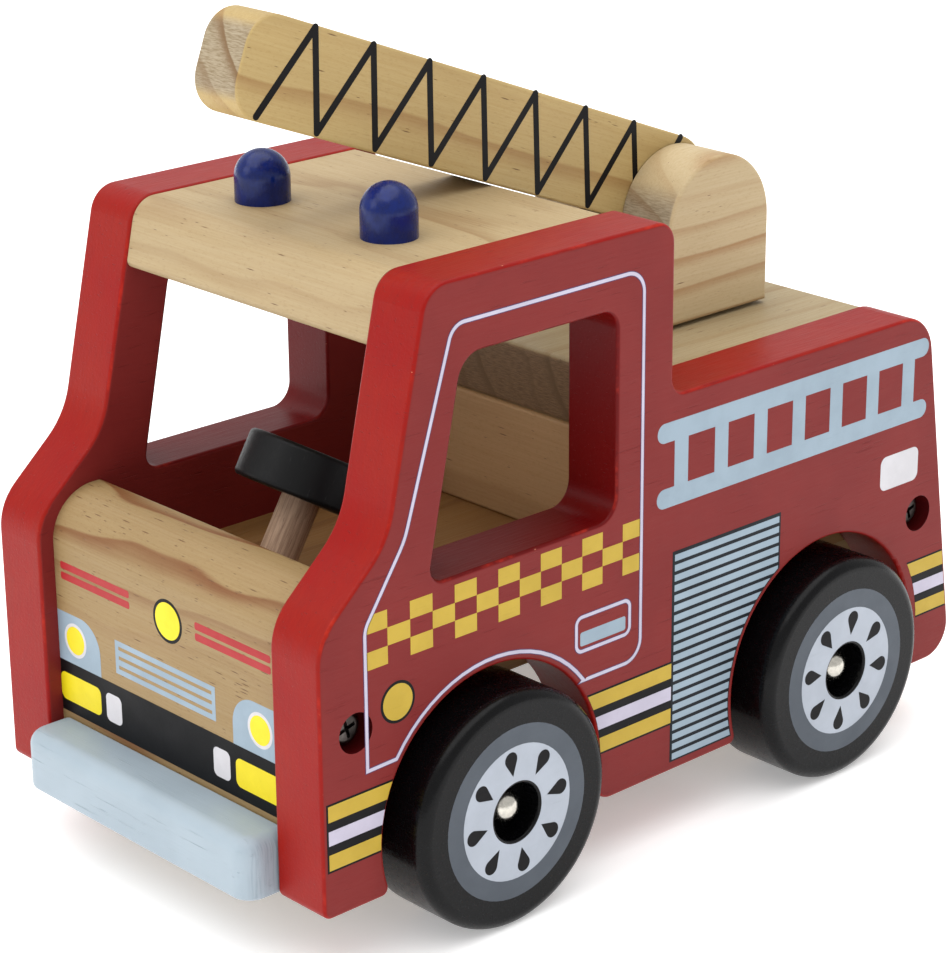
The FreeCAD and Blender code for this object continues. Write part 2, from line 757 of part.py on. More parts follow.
os.makedirs("parts", exist_ok=True)
for name, solids in build_nodes().items():
    for solid in solids:
        if not solid.isValid() or len(solid.Solids) != 1:
            raise ValueError(name + " is not one valid solid")
    shape = solids[0] if len(solids) == 1 else Part.makeCompound(solids)
    shape.exportStep("parts/" + name + ".step")
    bounds = shape.BoundBox
    print(name, len(solids), [round(v, 2) for v in (bounds.XMin, bounds.YMin, bounds.ZMin,
                                                    bounds.XMax, bounds.YMax, bounds.ZMax)])
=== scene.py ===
import math

import bmesh
import bpy
from mathutils import Matrix, Vector
from mathutils.geometry import tessellate_polygon


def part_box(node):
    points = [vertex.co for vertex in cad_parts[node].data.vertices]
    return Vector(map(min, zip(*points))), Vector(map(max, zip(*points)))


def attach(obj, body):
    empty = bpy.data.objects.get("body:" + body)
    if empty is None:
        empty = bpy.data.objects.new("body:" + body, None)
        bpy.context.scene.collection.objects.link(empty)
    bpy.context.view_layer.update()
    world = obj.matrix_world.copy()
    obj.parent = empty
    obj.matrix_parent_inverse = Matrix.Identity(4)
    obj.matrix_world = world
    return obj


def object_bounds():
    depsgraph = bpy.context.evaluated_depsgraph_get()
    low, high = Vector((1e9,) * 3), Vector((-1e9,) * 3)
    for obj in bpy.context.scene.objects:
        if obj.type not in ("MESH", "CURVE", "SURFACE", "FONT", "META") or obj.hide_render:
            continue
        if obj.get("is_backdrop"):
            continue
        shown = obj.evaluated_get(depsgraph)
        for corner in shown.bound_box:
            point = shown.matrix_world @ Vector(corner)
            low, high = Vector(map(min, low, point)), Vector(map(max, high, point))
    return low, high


# A wooden toy fire engine: painted side panels, plain pine boards, turned wheels and a pine
# ladder, with the printing that a screen printer would put on its flat faces. Places and sizes
# of the printing are in millimetres, in the vehicle's frame: it faces -Y and its left is +X.

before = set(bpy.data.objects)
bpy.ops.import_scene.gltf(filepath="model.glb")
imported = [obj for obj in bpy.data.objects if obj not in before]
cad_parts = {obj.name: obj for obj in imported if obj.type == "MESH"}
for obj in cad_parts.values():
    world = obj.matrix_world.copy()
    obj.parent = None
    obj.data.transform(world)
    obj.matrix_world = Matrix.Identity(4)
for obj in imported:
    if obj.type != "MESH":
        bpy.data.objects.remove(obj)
cad_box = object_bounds()
MM = 0.001


def box_mm(node):
    """Lowest and highest corners of a CAD node, in millimetres."""
    low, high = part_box(node)
    return Vector(low) / MM, Vector(high) / MM


# ---- Directions that grain and printing follow ----
STEERING_AXIS = (0, 0.521, 0.854)
LADDER_PITCH = math.radians(20.9)
LADDER_ALONG = Vector((0, -math.cos(LADDER_PITCH), math.sin(LADDER_PITCH)))
LADDER_ACROSS = Vector((0, math.sin(LADDER_PITCH), math.cos(LADDER_PITCH)))

# ---- Camera ----
CAMERA_PLACE = (435.7, -405.6, 287.2)
CAMERA_AZIMUTH = 47.26
CAMERA_ELEVATION = 20.21
CAMERA_ROLL = -0.485
FOCAL_LENGTH = 112.26      # on a 36 mm sensor


def add_camera():
    """Camera in front of the toy's left side, looking slightly down."""
    data = bpy.data.cameras.new("camera")
    data.sensor_width = 36.0
    data.lens = FOCAL_LENGTH
    data.clip_start = 0.01
    data.clip_end = 20.0
    camera = bpy.data.objects.new("camera", data)
    turn = Matrix.Rotation(math.radians(CAMERA_AZIMUTH), 4, "Z")
    tip = Matrix.Rotation(math.radians(90 - CAMERA_ELEVATION), 4, "X")
    roll = Matrix.Rotation(math.radians(CAMERA_ROLL), 4, "Z")
    camera.matrix_world = Matrix.Translation(Vector(CAMERA_PLACE) * MM) @ turn @ tip @ roll
    bpy.context.collection.objects.link(camera)
    bpy.context.scene.camera = camera


# ---- Materials ----
class Recipe:
    """Builds one material's nodes. Coordinates are the object's own, in millimetres."""

    def __init__(self, name):
        self.material = bpy.data.materials.new(name)
        self.material.use_nodes = True
        self.tree = self.material.node_tree
        self.shader = self.tree.nodes["Principled BSDF"]
        self.texture = self.tree.nodes.new("ShaderNodeTexCoord")
        self.mm = self.vector("SCALE", self.texture.outputs["Object"], scale=1 / MM)
        self.normal = self.texture.outputs["Normal"]

    def put(self, socket, value):
        if isinstance(value, bpy.types.NodeSocket):
            self.tree.links.new(value, socket)
        else:
            socket.default_value = value

    def node(self, kind, inputs, output=0, **settings):
        made = self.tree.nodes.new("ShaderNode" + kind)
        for key, value in settings.items():
            setattr(made, key, value)
        for key, value in inputs.items():
            self.put(made.inputs[key], value)
        return made.outputs[output]

    def vector(self, operation, a, b=(0, 0, 0), scale=1.0):
        output = 1 if operation in ("DOT_PRODUCT", "LENGTH") else 0
        inputs = {0: a, 1: b} if operation != "SCALE" else {0: a, "Scale": scale}
        return self.node("VectorMath", inputs, output, operation=operation)

    def calc(self, operation, a, b=0.0):
        inputs = {0: a} if operation in ("ABSOLUTE", "FRACT", "FLOOR", "SQRT") else {0: a, 1: b}
        return self.node("Math", inputs, operation=operation)

    def noise(self, where, scale=1.0, detail=3.0, roughness=0.55, output=0):
        inputs = {"Vector": where, "Scale": scale, "Detail": detail, "Roughness": roughness}
        return self.node("TexNoise", inputs, output)

    def step(self, value, low, high, start=0.0, end=1.0):
        """Smooth step of a value between two limits."""
        inputs = {"Value": value, "From Min": low, "From Max": high, "To Min": start, "To Max": end}
        return self.node("MapRange", inputs, interpolation_type="SMOOTHSTEP")

    def mix(self, factor, a, b, blend="MIX"):
        made = self.tree.nodes.new("ShaderNodeMix")
        made.data_type = "RGBA"
        made.blend_type = blend
        self.put(made.inputs[0], factor)
        self.put(made.inputs[6], a)
        self.put(made.inputs[7], b)
        return made.outputs[2]

    def stretched(self, along, across, grain):
        """Coordinates for streaks: cycles per mm along the grain and across it."""
        return self.vector("MULTIPLY", self.turned(grain), (along, across, across))

    def turned(self, grain):
        """Coordinates with X along the grain."""
        along = Vector(grain).normalized()
        side = along.orthogonal().normalized()
        rows = Matrix((along, side, along.cross(side)))
        inputs = {"Vector": self.mm, "Rotation": rows.to_euler()}
        return self.node("Mapping", inputs, vector_type="POINT")

    def facing(self, axis, low, high):
        """1 where the surface faces along the axis, either way."""
        dot = self.vector("DOT_PRODUCT", self.normal, tuple(Vector(axis).normalized()))
        return self.step(self.calc("ABSOLUTE", dot), low, high)

    def inside(self, area):
        """1 between the low and high (y, z) of an area, in millimetres."""
        parts = self.tree.nodes.new("ShaderNodeSeparateXYZ")
        self.put(parts.inputs[0], self.mm)
        factor = 1.0
        for axis in (0, 1):
            value = parts.outputs[axis + 1]
            above = self.calc("GREATER_THAN", value, area[0][axis])
            below = self.calc("LESS_THAN", value, area[1][axis])
            factor = self.calc("MULTIPLY", self.calc("MULTIPLY", above, below), factor)
        return factor

    def finish(self, color, roughness, height=None, depth_mm=0.05, **inputs):
        self.put(self.shader.inputs["Base Color"], color)
        self.put(self.shader.inputs["Roughness"], roughness)
        for key, value in inputs.items():
            self.put(self.shader.inputs[key.replace("_", " ")], value)
        if height is not None:
            bump = self.node("Bump", {"Height": height, "Distance": depth_mm * MM, "Strength": 1.0})
            self.put(self.shader.inputs["Normal"], bump)
        return self.material


def srgb(red, green, blue):
    """Display colour, 0 to 255, as a linear one."""
    def linear(value):
        value /= 255
        return value / 12.92 if value <= 0.04045 else ((value + 0.055) / 1.055) ** 2.4
    return (linear(red), linear(green), linear(blue), 1.0)


def shade(color, factor):
    """The same hue, darker or lighter."""
    return (color[0] * factor, color[1] * factor, color[2] * factor, 1.0)


END_GRAIN = (srgb(160, 149, 132), srgb(112, 98, 80))
LATE_WOOD = srgb(100, 74, 50)
PORE = srgb(98, 64, 36)
BEND = 14.0                # how far a growth ring wanders at a sway of 1, in millimetres


def pine(name, grain, heart, light, dark, spacing, sway=1.0, bands=0.8, flecks=0.12, shift=0.0,
         end_grain=END_GRAIN):
    """Pine with growth rings about a heart line along the grain, through a point in millimetres.

    spacing is the width of a ring, bands and flecks are how strong the rings and how many the
    pores are, and shift moves the pattern along the grain so that no two boards are alike.
    """
    r = Recipe(name)
    p = r.vector("ADD", r.turned(grain), (shift, 0, 0))
    wander = r.noise(r.vector("MULTIPLY", p, (0.011, 0.035, 0.035)), detail=2.0, output=1)
    wander = r.vector("SCALE", r.vector("SUBTRACT", wander, (0.5, 0.5, 0.5)), scale=BEND * sway)
    bent = r.vector("SUBTRACT", r.vector("ADD", r.mm, wander), heart)
    along = tuple(Vector(grain).normalized())
    distance = r.vector("LENGTH", r.vector("CROSS_PRODUCT", bent, along))
    fibre = r.noise(r.vector("MULTIPLY", p, (0.05, 2.4, 2.4)), detail=4.0, roughness=0.65)
    rings = r.calc("ADD", r.calc("DIVIDE", distance, spacing), r.calc("MULTIPLY", fibre, 0.08))
    phase = r.calc("FRACT", rings)
    late = r.calc("MULTIPLY", r.step(phase, 0.42, 0.92), r.step(phase, 0.92, 1.0, 1.0, 0.0))
    late = r.calc("POWER", late, 1.6)
    number = r.node("CombineXYZ", {0: r.calc("FLOOR", rings)})
    strength = r.step(r.noise(number, 1.7, detail=0.0), 0.38, 0.66, 0.15, 1.0)
    color = r.mix(r.calc("MULTIPLY", r.calc("MULTIPLY", late, strength), bands), light, dark)
    cloud = r.step(r.noise(r.vector("MULTIPLY", p, (0.018, 0.05, 0.05))), 0.35, 0.7)
    color = r.mix(r.calc("MULTIPLY", cloud, 0.30), color, shade(light, 0.80))
    streak = r.step(fibre, 0.3, 0.75, 0.0, 0.42)
    color = r.mix(streak, color, (0.82, 0.73, 0.60, 1), blend="MULTIPLY")
    speckle = r.noise(r.vector("MULTIPLY", p, (0.9, 2.6, 2.6)), detail=2.0)
    color = r.mix(r.step(speckle, 0.52, 0.75, 0.0, 0.35), color, (0.74, 0.66, 0.54, 1), blend="MULTIPLY")
    fleck = None
    for size, amount in (((0.12, 1.25, 1.25), flecks), ((0.27, 2.1, 2.1), flecks * 0.8)):
        cells = r.tree.nodes.new("ShaderNodeTexVoronoi")
        r.put(cells.inputs["Vector"], r.vector("MULTIPLY", p, size))
        r.put(cells.inputs["Scale"], 1.0)
        chance = r.node("SeparateColor", {0: cells.outputs["Color"]})
        mark = r.calc("MULTIPLY", r.step(cells.outputs["Distance"], 0.06, 0.20, 1.0, 0.0),
                      r.step(chance, 1.0 - amount, 1.02 - amount))
        fleck = mark if fleck is None else r.calc("MAXIMUM", fleck, mark)
    color = r.mix(r.calc("MULTIPLY", fleck, 0.85), color, PORE)
    end = r.facing(grain, 0.72, 0.95)
    saw = r.noise(r.vector("MULTIPLY", r.mm, (0.5, 0.5, 4.5)), detail=3.0)
    grey = r.mix(r.step(saw, 0.32, 0.68), *end_grain)
    ringed = r.mix(r.calc("MULTIPLY", late, strength), grey, LATE_WOOD)
    color = r.mix(r.calc("MULTIPLY", end, 0.75), color, ringed)
    roughness = r.step(fibre, 0.2, 0.8, 0.46, 0.62)
    height = r.calc("ADD", r.calc("MULTIPLY", fibre, 0.6), r.calc("MULTIPLY", fleck, -1.0))
    height = r.calc("ADD", height, r.calc("MULTIPLY", r.calc("MULTIPLY", saw, end), 0.8))
    return r.finish(color, roughness, height, 0.06, Specular_IOR_Level=0.35)


WINDOW_PAINTED_SHADE = ((-63.5, 73.0), (-8.5, 121.5))       # low and high (y, z) round the window, whose inner faces get painted shade
# low and high (y, z) round the two screw recesses, whose walls get painted shade
SCREW_RECESSES = (((-85.0, 46.7), (-76.0, 55.7)), ((79.2, 46.9), (88.2, 55.9)))


def red_paint():
    """Satin red over pine: brushed edges brighter than the printed side faces, partly a duller printed
    coat and partly painted shade on the side faces.
    """
    r = Recipe("red_paint")
    side = r.facing((1, 0, 0), 0.86, 0.985)
    blotch = r.step(r.noise(r.mm, 0.045, detail=3.0), 0.3, 0.7)
    brush = r.noise(r.vector("MULTIPLY", r.mm, (0.9, 0.22, 0.22)), detail=5.0, roughness=0.65)
    edge = r.mix(blotch, srgb(140, 8, 4), srgb(143, 24, 11))
    edge = r.mix(r.step(brush, 0.35, 0.75, 0.0, 0.5), edge, srgb(128, 20, 16))
    # Side-face red: partly the duller screen-printed coat, partly painted shade for faces turned away from
    # the overhead light.
    face = r.mix(blotch, srgb(124, 39, 37), srgb(117, 35, 34))
    face = r.mix(r.step(brush, 0.45, 0.8, 0.0, 0.25), face, srgb(112, 33, 32))
    # Painted shade: the window's inner faces and the screw recesses' walls are darkened as if in shadow.
    edge = r.mix(r.calc("MULTIPLY", r.inside(WINDOW_PAINTED_SHADE), 0.85), edge, srgb(90, 6, 9))
    for recess in SCREW_RECESSES:
        edge = r.mix(r.inside(recess), edge, srgb(70, 8, 10))
    color = r.mix(side, edge, face)
    not_flat = r.calc("SUBTRACT", 1.0, r.facing((1, 0, 0), 0.8, 0.95))
    rim = r.calc("MULTIPLY", r.facing((1, 0, 0), 0.15, 0.4), not_flat)
    chips = r.step(r.noise(r.mm, 0.75, detail=4.0, roughness=0.7), 0.68, 0.72)
    color = r.mix(r.calc("MULTIPLY", chips, rim), color, srgb(214, 140, 110))
    # Brighter red along the rounded edges: partly rubbed paint, partly painted highlight.
    wear_and_highlight = r.step(r.noise(r.mm, 0.11, detail=4.0, roughness=0.7), 0.5, 0.72, 0.0, 0.55)
    color = r.mix(r.calc("MULTIPLY", wear_and_highlight, rim), color, srgb(196, 50, 30))
    grain = r.noise(r.vector("MULTIPLY", r.mm, (1.6, 0.12, 1.6)), detail=4.0, roughness=0.6)
    pores = r.step(r.noise(r.vector("MULTIPLY", r.mm, (0.8, 0.10, 2.4)), detail=2.0), 0.66, 0.72)
    color = r.mix(r.calc("MULTIPLY", pores, 0.30), color, srgb(90, 20, 20))
    roughness = r.calc("ADD", r.step(side, 0.0, 1.0, 0.36, 0.46), r.step(grain, 0.2, 0.8, -0.04, 0.06))
    height = r.calc("ADD", grain, r.calc("MULTIPLY", brush, 0.4))
    height = r.calc("SUBTRACT", height, r.calc("MULTIPLY", pores, 0.7))
    return r.finish(color, roughness, height, 0.06, Specular_IOR_Level=0.14)


def blue_grey_paint():
    """Pale blue over pine: the grain shows as fine cracks along the block."""
    r = Recipe("pale_blue_paint")
    long = r.noise(r.vector("MULTIPLY", r.mm, (0.035, 1.1, 1.1)), detail=4.0, roughness=0.7)
    cloud = r.noise(r.mm, 0.05, detail=3.0)
    color = r.mix(r.step(cloud, 0.3, 0.7), srgb(159, 173, 183), srgb(151, 165, 175))
    crack = r.step(long, 0.60, 0.68)
    patch = r.step(r.noise(r.mm, 0.09), 0.45, 0.6)
    color = r.mix(r.calc("MULTIPLY", r.calc("MULTIPLY", crack, patch), 0.55), color, srgb(104, 124, 134))
    end = r.facing((1, 0, 0), 0.6, 0.95)
    saw = r.noise(r.vector("MULTIPLY", r.mm, (0.3, 2.2, 0.12)), detail=4.0)
    color = r.mix(r.calc("MULTIPLY", end, r.step(saw, 0.4, 0.75, 0.0, 0.6)), color, srgb(120, 134, 144))
    height = r.calc("ADD", r.calc("MULTIPLY", crack, -0.6), r.calc("MULTIPLY", long, 0.7))
    return r.finish(color, 0.42, height, 0.08, Specular_IOR_Level=0.35)


def turned_black(name, base, axis, gloss, lines):
    """Black paint on turned wood. lines is how far the pale streaks along the axis show."""
    r = Recipe(name)
    fine = r.noise(r.mm, 0.9, detail=5.0, roughness=0.65)
    cloud = r.noise(r.mm, 0.06, detail=2.0)
    streak = r.noise(r.stretched(0.25, 2.0, axis), detail=4.0, roughness=0.7)
    color = r.mix(r.step(cloud, 0.3, 0.7), base, shade(base, 1.35))
    color = r.mix(r.step(streak, 0.62, 0.78, 0.0, lines), color, srgb(84, 84, 84))
    roughness = r.step(fine, 0.25, 0.75, gloss - 0.05, gloss + 0.07)
    roughness = r.calc("ADD", roughness, r.step(streak, 0.5, 0.8, 0.0, 0.08))
    height = r.calc("ADD", r.calc("MULTIPLY", fine, 0.35), r.calc("MULTIPLY", streak, lines + 0.25))
    return r.finish(color, roughness, height, 0.05, Specular_IOR_Level=0.16)


def gloss_blue():
    """Blue gloss with faint upright runs."""
    r = Recipe("beacon_blue")
    fine = r.noise(r.mm, 0.6, detail=4.0)
    streak = r.noise(r.vector("MULTIPLY", r.mm, (1.2, 1.2, 0.15)), detail=4.0)
    color = r.mix(r.step(fine, 0.3, 0.7), srgb(6, 30, 100), srgb(4, 22, 82))
    color = r.mix(r.step(streak, 0.66, 0.8, 0.0, 0.4), color, srgb(30, 54, 124))
    roughness = r.step(fine, 0.3, 0.7, 0.18, 0.30)
    return r.finish(color, roughness, r.calc("ADD", fine, streak), 0.06, Specular_IOR_Level=0.28)


def beech():
    """Bare beech, its fibre along the raked steering column."""
    r = Recipe("beech_dowel")
    fibre = r.noise(r.stretched(0.12, 1.9, STEERING_AXIS), detail=5.0, roughness=0.7)
    color = r.mix(r.step(fibre, 0.3, 0.7), srgb(190, 158, 130), srgb(142, 110, 86))
    fleck = r.step(r.noise(r.stretched(0.35, 2.6, STEERING_AXIS), detail=2.0), 0.66, 0.72)
    color = r.mix(r.calc("MULTIPLY", fleck, 0.5), color, srgb(96, 70, 54))
    return r.finish(color, 0.62, fibre, 0.14)


def metal(name, color, low, high):
    """Metal whose roughness varies between two values."""
    r = Recipe(name)
    fine = r.noise(r.mm, 1.2, detail=5.0, roughness=0.7)
    tint = r.mix(r.step(fine, 0.3, 0.7), color, shade(color, 0.82))
    return r.finish(tint, r.step(fine, 0.25, 0.75, low, high), fine, 0.02, Metallic=1.0)


def ink(name, color, gloss=0.42, sheen=0.3):
    """Screen-printed ink: nearly even, with slight mottling from the wood below."""
    r = Recipe("ink_" + name)
    cloud = r.noise(r.mm, 0.11, detail=4.0, roughness=0.6)
    grain = r.noise(r.vector("MULTIPLY", r.mm, (0.9, 0.16, 1.4)), detail=4.0, roughness=0.65)
    tint = r.mix(r.step(cloud, 0.3, 0.7), color, shade(color, 0.9))
    tint = r.mix(r.step(grain, 0.58, 0.8, 0.0, 0.35), tint, shade(color, 0.72))
    roughness = r.step(cloud, 0.3, 0.7, gloss - 0.04, gloss + 0.08)
    return r.finish(tint, roughness, grain, 0.03, Specular_IOR_Level=sheen)


CREAM = srgb(200, 176, 134)
TAN = srgb(170, 130, 84)


def pine_boards():
    """Node name to pine: every board has its own rings, so no two look cut from one plank."""
    across = (1, 0, 0)
    lengthways = (0, 1, 0)
    return {
        "front_board": pine("pine_front", across, (0, -49, 20), srgb(154, 129, 88), srgb(118, 70, 34),
                            spacing=7.0, sway=1.7, bands=1.0, flecks=0.46),
        "roof_board": pine("pine_roof", across, (0, -10, 60), srgb(176, 155, 118), srgb(142, 110, 72),
                           spacing=6.5, sway=1.6, bands=0.6, flecks=0.18, shift=40),
        "floor_board": pine("pine_floor", lengthways, (30, 0, -20), srgb(150, 112, 66),
                            srgb(120, 80, 42), spacing=5.0, shift=90),
        "bulkhead_board": pine("pine_bulkhead", across, (0, -60, 60), srgb(206, 170, 126), TAN,
                               spacing=6.0, shift=17),
        "deck_board": pine("pine_deck", lengthways, (-60, 0, 60), srgb(166, 149, 116),
                           srgb(144, 116, 76), spacing=7.0, sway=0.8, bands=0.6, flecks=0.1,
                           shift=60, end_grain=(srgb(138, 104, 72), srgb(92, 60, 38))),
        "tail_board": pine("pine_tail", across, (0, 160, -20), CREAM, TAN, spacing=5.0, shift=130),
        "fork_left_cheek": pine("pine_left_cheek", lengthways, (-26, 0, 40), srgb(194, 174, 136),
                                srgb(160, 118, 70), spacing=5.8, sway=0.40, bands=1.0, flecks=0.05,
                                shift=20),
        "fork_right_cheek": pine("pine_right_cheek", lengthways, (24, 0, 30), srgb(192, 172, 134),
                                 srgb(162, 122, 74), spacing=7.4, sway=0.5, bands=0.9, flecks=0.06,
                                 shift=70),
        "fork_block": pine("pine_fork_block", lengthways, (-70, 0, 20), CREAM, TAN, spacing=6.5,
                           shift=110),
        "ladder": pine("pine_ladder", LADDER_ALONG, (-46, 50, 70), srgb(185, 160, 106),
                       srgb(148, 108, 58), spacing=8.0, sway=0.9, bands=0.75, flecks=0.14, shift=30),
        "front_axle_block": pine("pine_axle_blocks", across, (0, 80, 90), CREAM, TAN, spacing=5.0),
    }


def paint_frame():
    """Gives every CAD node its material."""
    red = red_paint()
    tyre = turned_black("tyre_black", srgb(5, 5, 6), (1, 0, 0), 0.24, 0.0)
    steel = metal("screw_steel", srgb(96, 90, 86), 0.28, 0.45)
    nickel = metal("nickel", srgb(206, 202, 192), 0.17, 0.26)
    dowel = beech()
    chosen = pine_boards()
    chosen.update({
        "left_side_panel": red,
        "right_side_panel": red,
        "bumper": blue_grey_paint(),
        "steering_wheel": turned_black("steering_black", srgb(10, 10, 11), STEERING_AXIS, 0.42, 0.30),
        "steering_column": dowel,
        "left_beacon": gloss_blue(),
        "front_axle": steel,
        "front_axle_caps": nickel,
    })
    chosen["rear_axle_block"] = chosen["front_axle_block"]
    chosen["right_beacon"] = chosen["left_beacon"]
    chosen["rear_axle_caps"] = nickel
    for name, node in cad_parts.items():
        material = chosen.get(name)
        if material is None:
            if name.endswith("_wheel"):
                material = tyre
            elif "dowel" in name:
                material = dowel
            else:
                material = steel
        node.data.materials.clear()
        node.data.materials.append(material)


# ---- Flat outlines for the printing ----
ARC_STEP = math.radians(6)
STRAIGHT = 1e-4            # a point closer than this to its neighbours' line is no corner


def arc(center, radius, start, end):
    """Points of an arc, angles in degrees, both ends included."""
    start, end = math.radians(start), math.radians(end)
    count = max(2, math.ceil(abs(end - start) / ARC_STEP))
    angles = [start + (end - start) * i / count for i in range(count + 1)]
    return [(center[0] + radius * math.cos(a), center[1] + radius * math.sin(a)) for a in angles]


def circle(center, radius):
    """Closed outline, its first point at angle 0."""
    return arc(center, radius, 0, 360)[:-1]


def rounded(corners):
    """Closed outline through corners (u, v, radius), each rounded by a tangent arc."""
    points = []
    count = len(corners)
    for i, (u, v, radius) in enumerate(corners):
        here = Vector((u, v))
        if radius <= 0:
            points.append(tuple(here))
            continue
        back = (Vector(corners[i - 1][:2]) - here).normalized()
        ahead = (Vector(corners[(i + 1) % count][:2]) - here).normalized()
        half = back.angle(ahead) / 2
        center = here + (back + ahead).normalized() * (radius / math.sin(half))
        start = here + back * (radius / math.tan(half)) - center
        turn = (math.pi - 2 * half) * (1 if back.cross(ahead) < 0 else -1)
        steps = max(2, math.ceil(abs(turn) / ARC_STEP))
        for k in range(steps + 1):
            a = turn * k / steps
            spun = Vector((start.x * math.cos(a) - start.y * math.sin(a),
                           start.x * math.sin(a) + start.y * math.cos(a)))
            points.append(tuple(center + spun))
    return points


def rectangle(u0, v0, u1, v1, radius=0.0):
    return rounded([(u0, v0, radius), (u1, v0, radius), (u1, v1, radius), (u0, v1, radius)])


def offset_line(points, distance, closed):
    """Points moved sideways from a line, with mitred corners."""
    moved = []
    count = len(points)
    for i in range(count):
        here = Vector(points[i])
        before = Vector(points[i - 1]) if closed or i > 0 else None
        after = Vector(points[(i + 1) % count]) if closed or i < count - 1 else None
        first = (here - before).normalized() if before is not None else (after - here).normalized()
        second = (after - here).normalized() if after is not None else first
        normal = Vector((-first.y - second.y, first.x + second.x)).normalized()
        mitre = max(0.25, normal.dot(Vector((-first.y, first.x))))
        moved.append(tuple(here + normal * (distance / mitre)))
    return moved


def ribbon(points, width, closed=False):
    """Outline, or outer and inner outlines, of a line of even width."""
    left = offset_line(points, width / 2, closed)
    right = offset_line(points, -width / 2, closed)
    if closed:
        return [left, right]
    return [left + right[::-1]]


def signed_area(points):
    return sum(a[0] * b[1] - b[0] * a[1] for a, b in zip(points, points[1:] + points[:1])) / 2


def clip(points, inside, crossing):
    """Part of a closed outline on one side of a border."""
    kept = []
    for here, following in zip(points, points[1:] + points[:1]):
        if inside(here):
            kept.append(here)
        if inside(here) != inside(following):
            kept.append(crossing(here, following))
    return kept


def cut_to(points, inside):
    """Clip with a border known only by its test, found by halving."""
    def crossing(a, b):
        a, b = Vector(a), Vector(b)
        at_a = inside(tuple(a))
        for _ in range(24):
            middle = (a + b) / 2
            if inside(tuple(middle)) == at_a:
                a = middle
            else:
                b = middle
        return tuple((a + b) / 2)
    return clip(points, inside, crossing)


def without_straight_points(points):
    """The same closed outline with only its corners, so that its triangles leave no open edge."""
    corners = []
    for i, here in enumerate(points):
        before = corners[-1] if corners else points[-1]
        back = Vector(here) - Vector(before)
        ahead = Vector(points[(i + 1) % len(points)]) - Vector(before)
        if ahead.length < STRAIGHT or abs(back.cross(ahead)) / ahead.length > STRAIGHT:
            corners.append(here)
    return corners


def cut_by_arch(points, center, radius):
    """Part of a closed outline outside a wheel arch, following its curve."""
    kept = cut_to(points, lambda p: math.dist(p, center) > radius)
    curved = []
    for a, b in zip(kept, kept[1:] + kept[:1]):
        curved.append(a)
        if max(abs(math.dist(p, center) - radius) for p in (a, b)) < 0.01:
            start = math.degrees(math.atan2(a[1] - center[1], a[0] - center[0]))
            end = math.degrees(math.atan2(b[1] - center[1], b[0] - center[0]))
            sweep = (end - start + 180) % 360 - 180
            curved.extend(arc(center, radius, start, start + sweep)[1:-1])
    return without_straight_points(curved)


def divided(points, step=0.8):
    """The same closed outline with no run longer than step."""
    dense = []
    for a, b in zip(points, points[1:] + points[:1]):
        a, b = Vector(a), Vector(b)
        count = max(1, math.ceil((b - a).length / step))
        dense.extend(tuple(a + (b - a) * i / count) for i in range(count))
    return dense


# ---- Printed pieces ----
LAYER = 0.025          # one layer of ink


def add_plate(mesh, loops, place, low, high):
    """One closed plate between two heights. The first loop is the outline, the rest are holes."""
    rings = []
    for index, loop in enumerate(loops):
        anticlockwise = signed_area(loop) > 0
        rings.append(loop if anticlockwise == (index == 0) else loop[::-1])
    flat = [Vector((u, v, 0)) for loop in rings for u, v in loop]
    triangles = tessellate_polygon([[Vector((u, v, 0)) for u, v in loop] for loop in rings])
    top = [mesh.verts.new(place(p.x, p.y, high) * MM) for p in flat]
    bottom = [mesh.verts.new(place(p.x, p.y, low) * MM) for p in flat]
    for a, b, c in triangles:
        if (flat[b] - flat[a]).cross(flat[c] - flat[a]).length < 1e-9:
            continue
        mesh.faces.new((top[a], top[b], top[c]))
        mesh.faces.new((bottom[c], bottom[b], bottom[a]))
    first = 0
    for loop in rings:
        count = len(loop)
        for i in range(count):
            a, b = first + i, first + (i + 1) % count
            mesh.faces.new((top[b], top[a], bottom[a], bottom[b]))
        first += count


def printed(name, shapes, place, layer, material, body):
    """One ink layer: every shape is a list of loops. Layer 1 lies on the wood."""
    mesh = bmesh.new()
    for loops in shapes:
        add_plate(mesh, loops, place, -LAYER, LAYER * layer)
    bmesh.ops.recalc_face_normals(mesh, faces=mesh.faces)
    data = bpy.data.meshes.new(name)
    mesh.to_mesh(data)
    mesh.free()
    data.materials.append(material)
    piece = bpy.data.objects.new(name, data)
    bpy.context.collection.objects.link(piece)
    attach(piece, body)
    return piece


# ---- Printing on the side panels ----
PANEL_LOW, PANEL_HIGH = box_mm("left_side_panel")
FACE_X = PANEL_HIGH.x
WHEEL_BOX = box_mm("front_left_wheel")
FRONT_AXLE = ((WHEEL_BOX[0].y + WHEEL_BOX[1].y) / 2, (WHEEL_BOX[0].z + WHEEL_BOX[1].z) / 2)
REAR_BOX = box_mm("rear_left_wheel")
REAR_AXLE = ((REAR_BOX[0].y + REAR_BOX[1].y) / 2, (REAR_BOX[0].z + REAR_BOX[1].z) / 2)
ARCH_PRINT_RADIUS = 30.3

DOOR_LINE = 0.72
OUTLINE = 0.35               # how much wider the dark line under the door's line is
DOOR_BOTTOM = 43.4
DOOR_REAR = -4.45
DOOR_ARCH_RADIUS = 30.8
DOOR_FRONT_FOOT = 42.4
DOOR_ARCH_ENDS = (-20.8, -70.3)      # where the door's line joins its arch, rear and front
DOOR_CORNERS = [
    (-77.85, DOOR_FRONT_FOOT, 0.0),
    (-77.85, 71.2, 5.0),
    (-67.6, 86.3, 16.0),
    (-55.0, 125.3, 4.0),
    (DOOR_REAR, 125.5, 4.5),
    (DOOR_REAR, DOOR_BOTTOM, 4.5),
    (DOOR_ARCH_ENDS[0], DOOR_BOTTOM, 0.0),
]
CHECKER_TOP = 73.8
CHECKER_PITCH = (5.68, 3.66)
CHECKER_COLUMNS = 13
CHECKER_REAR = -4.1

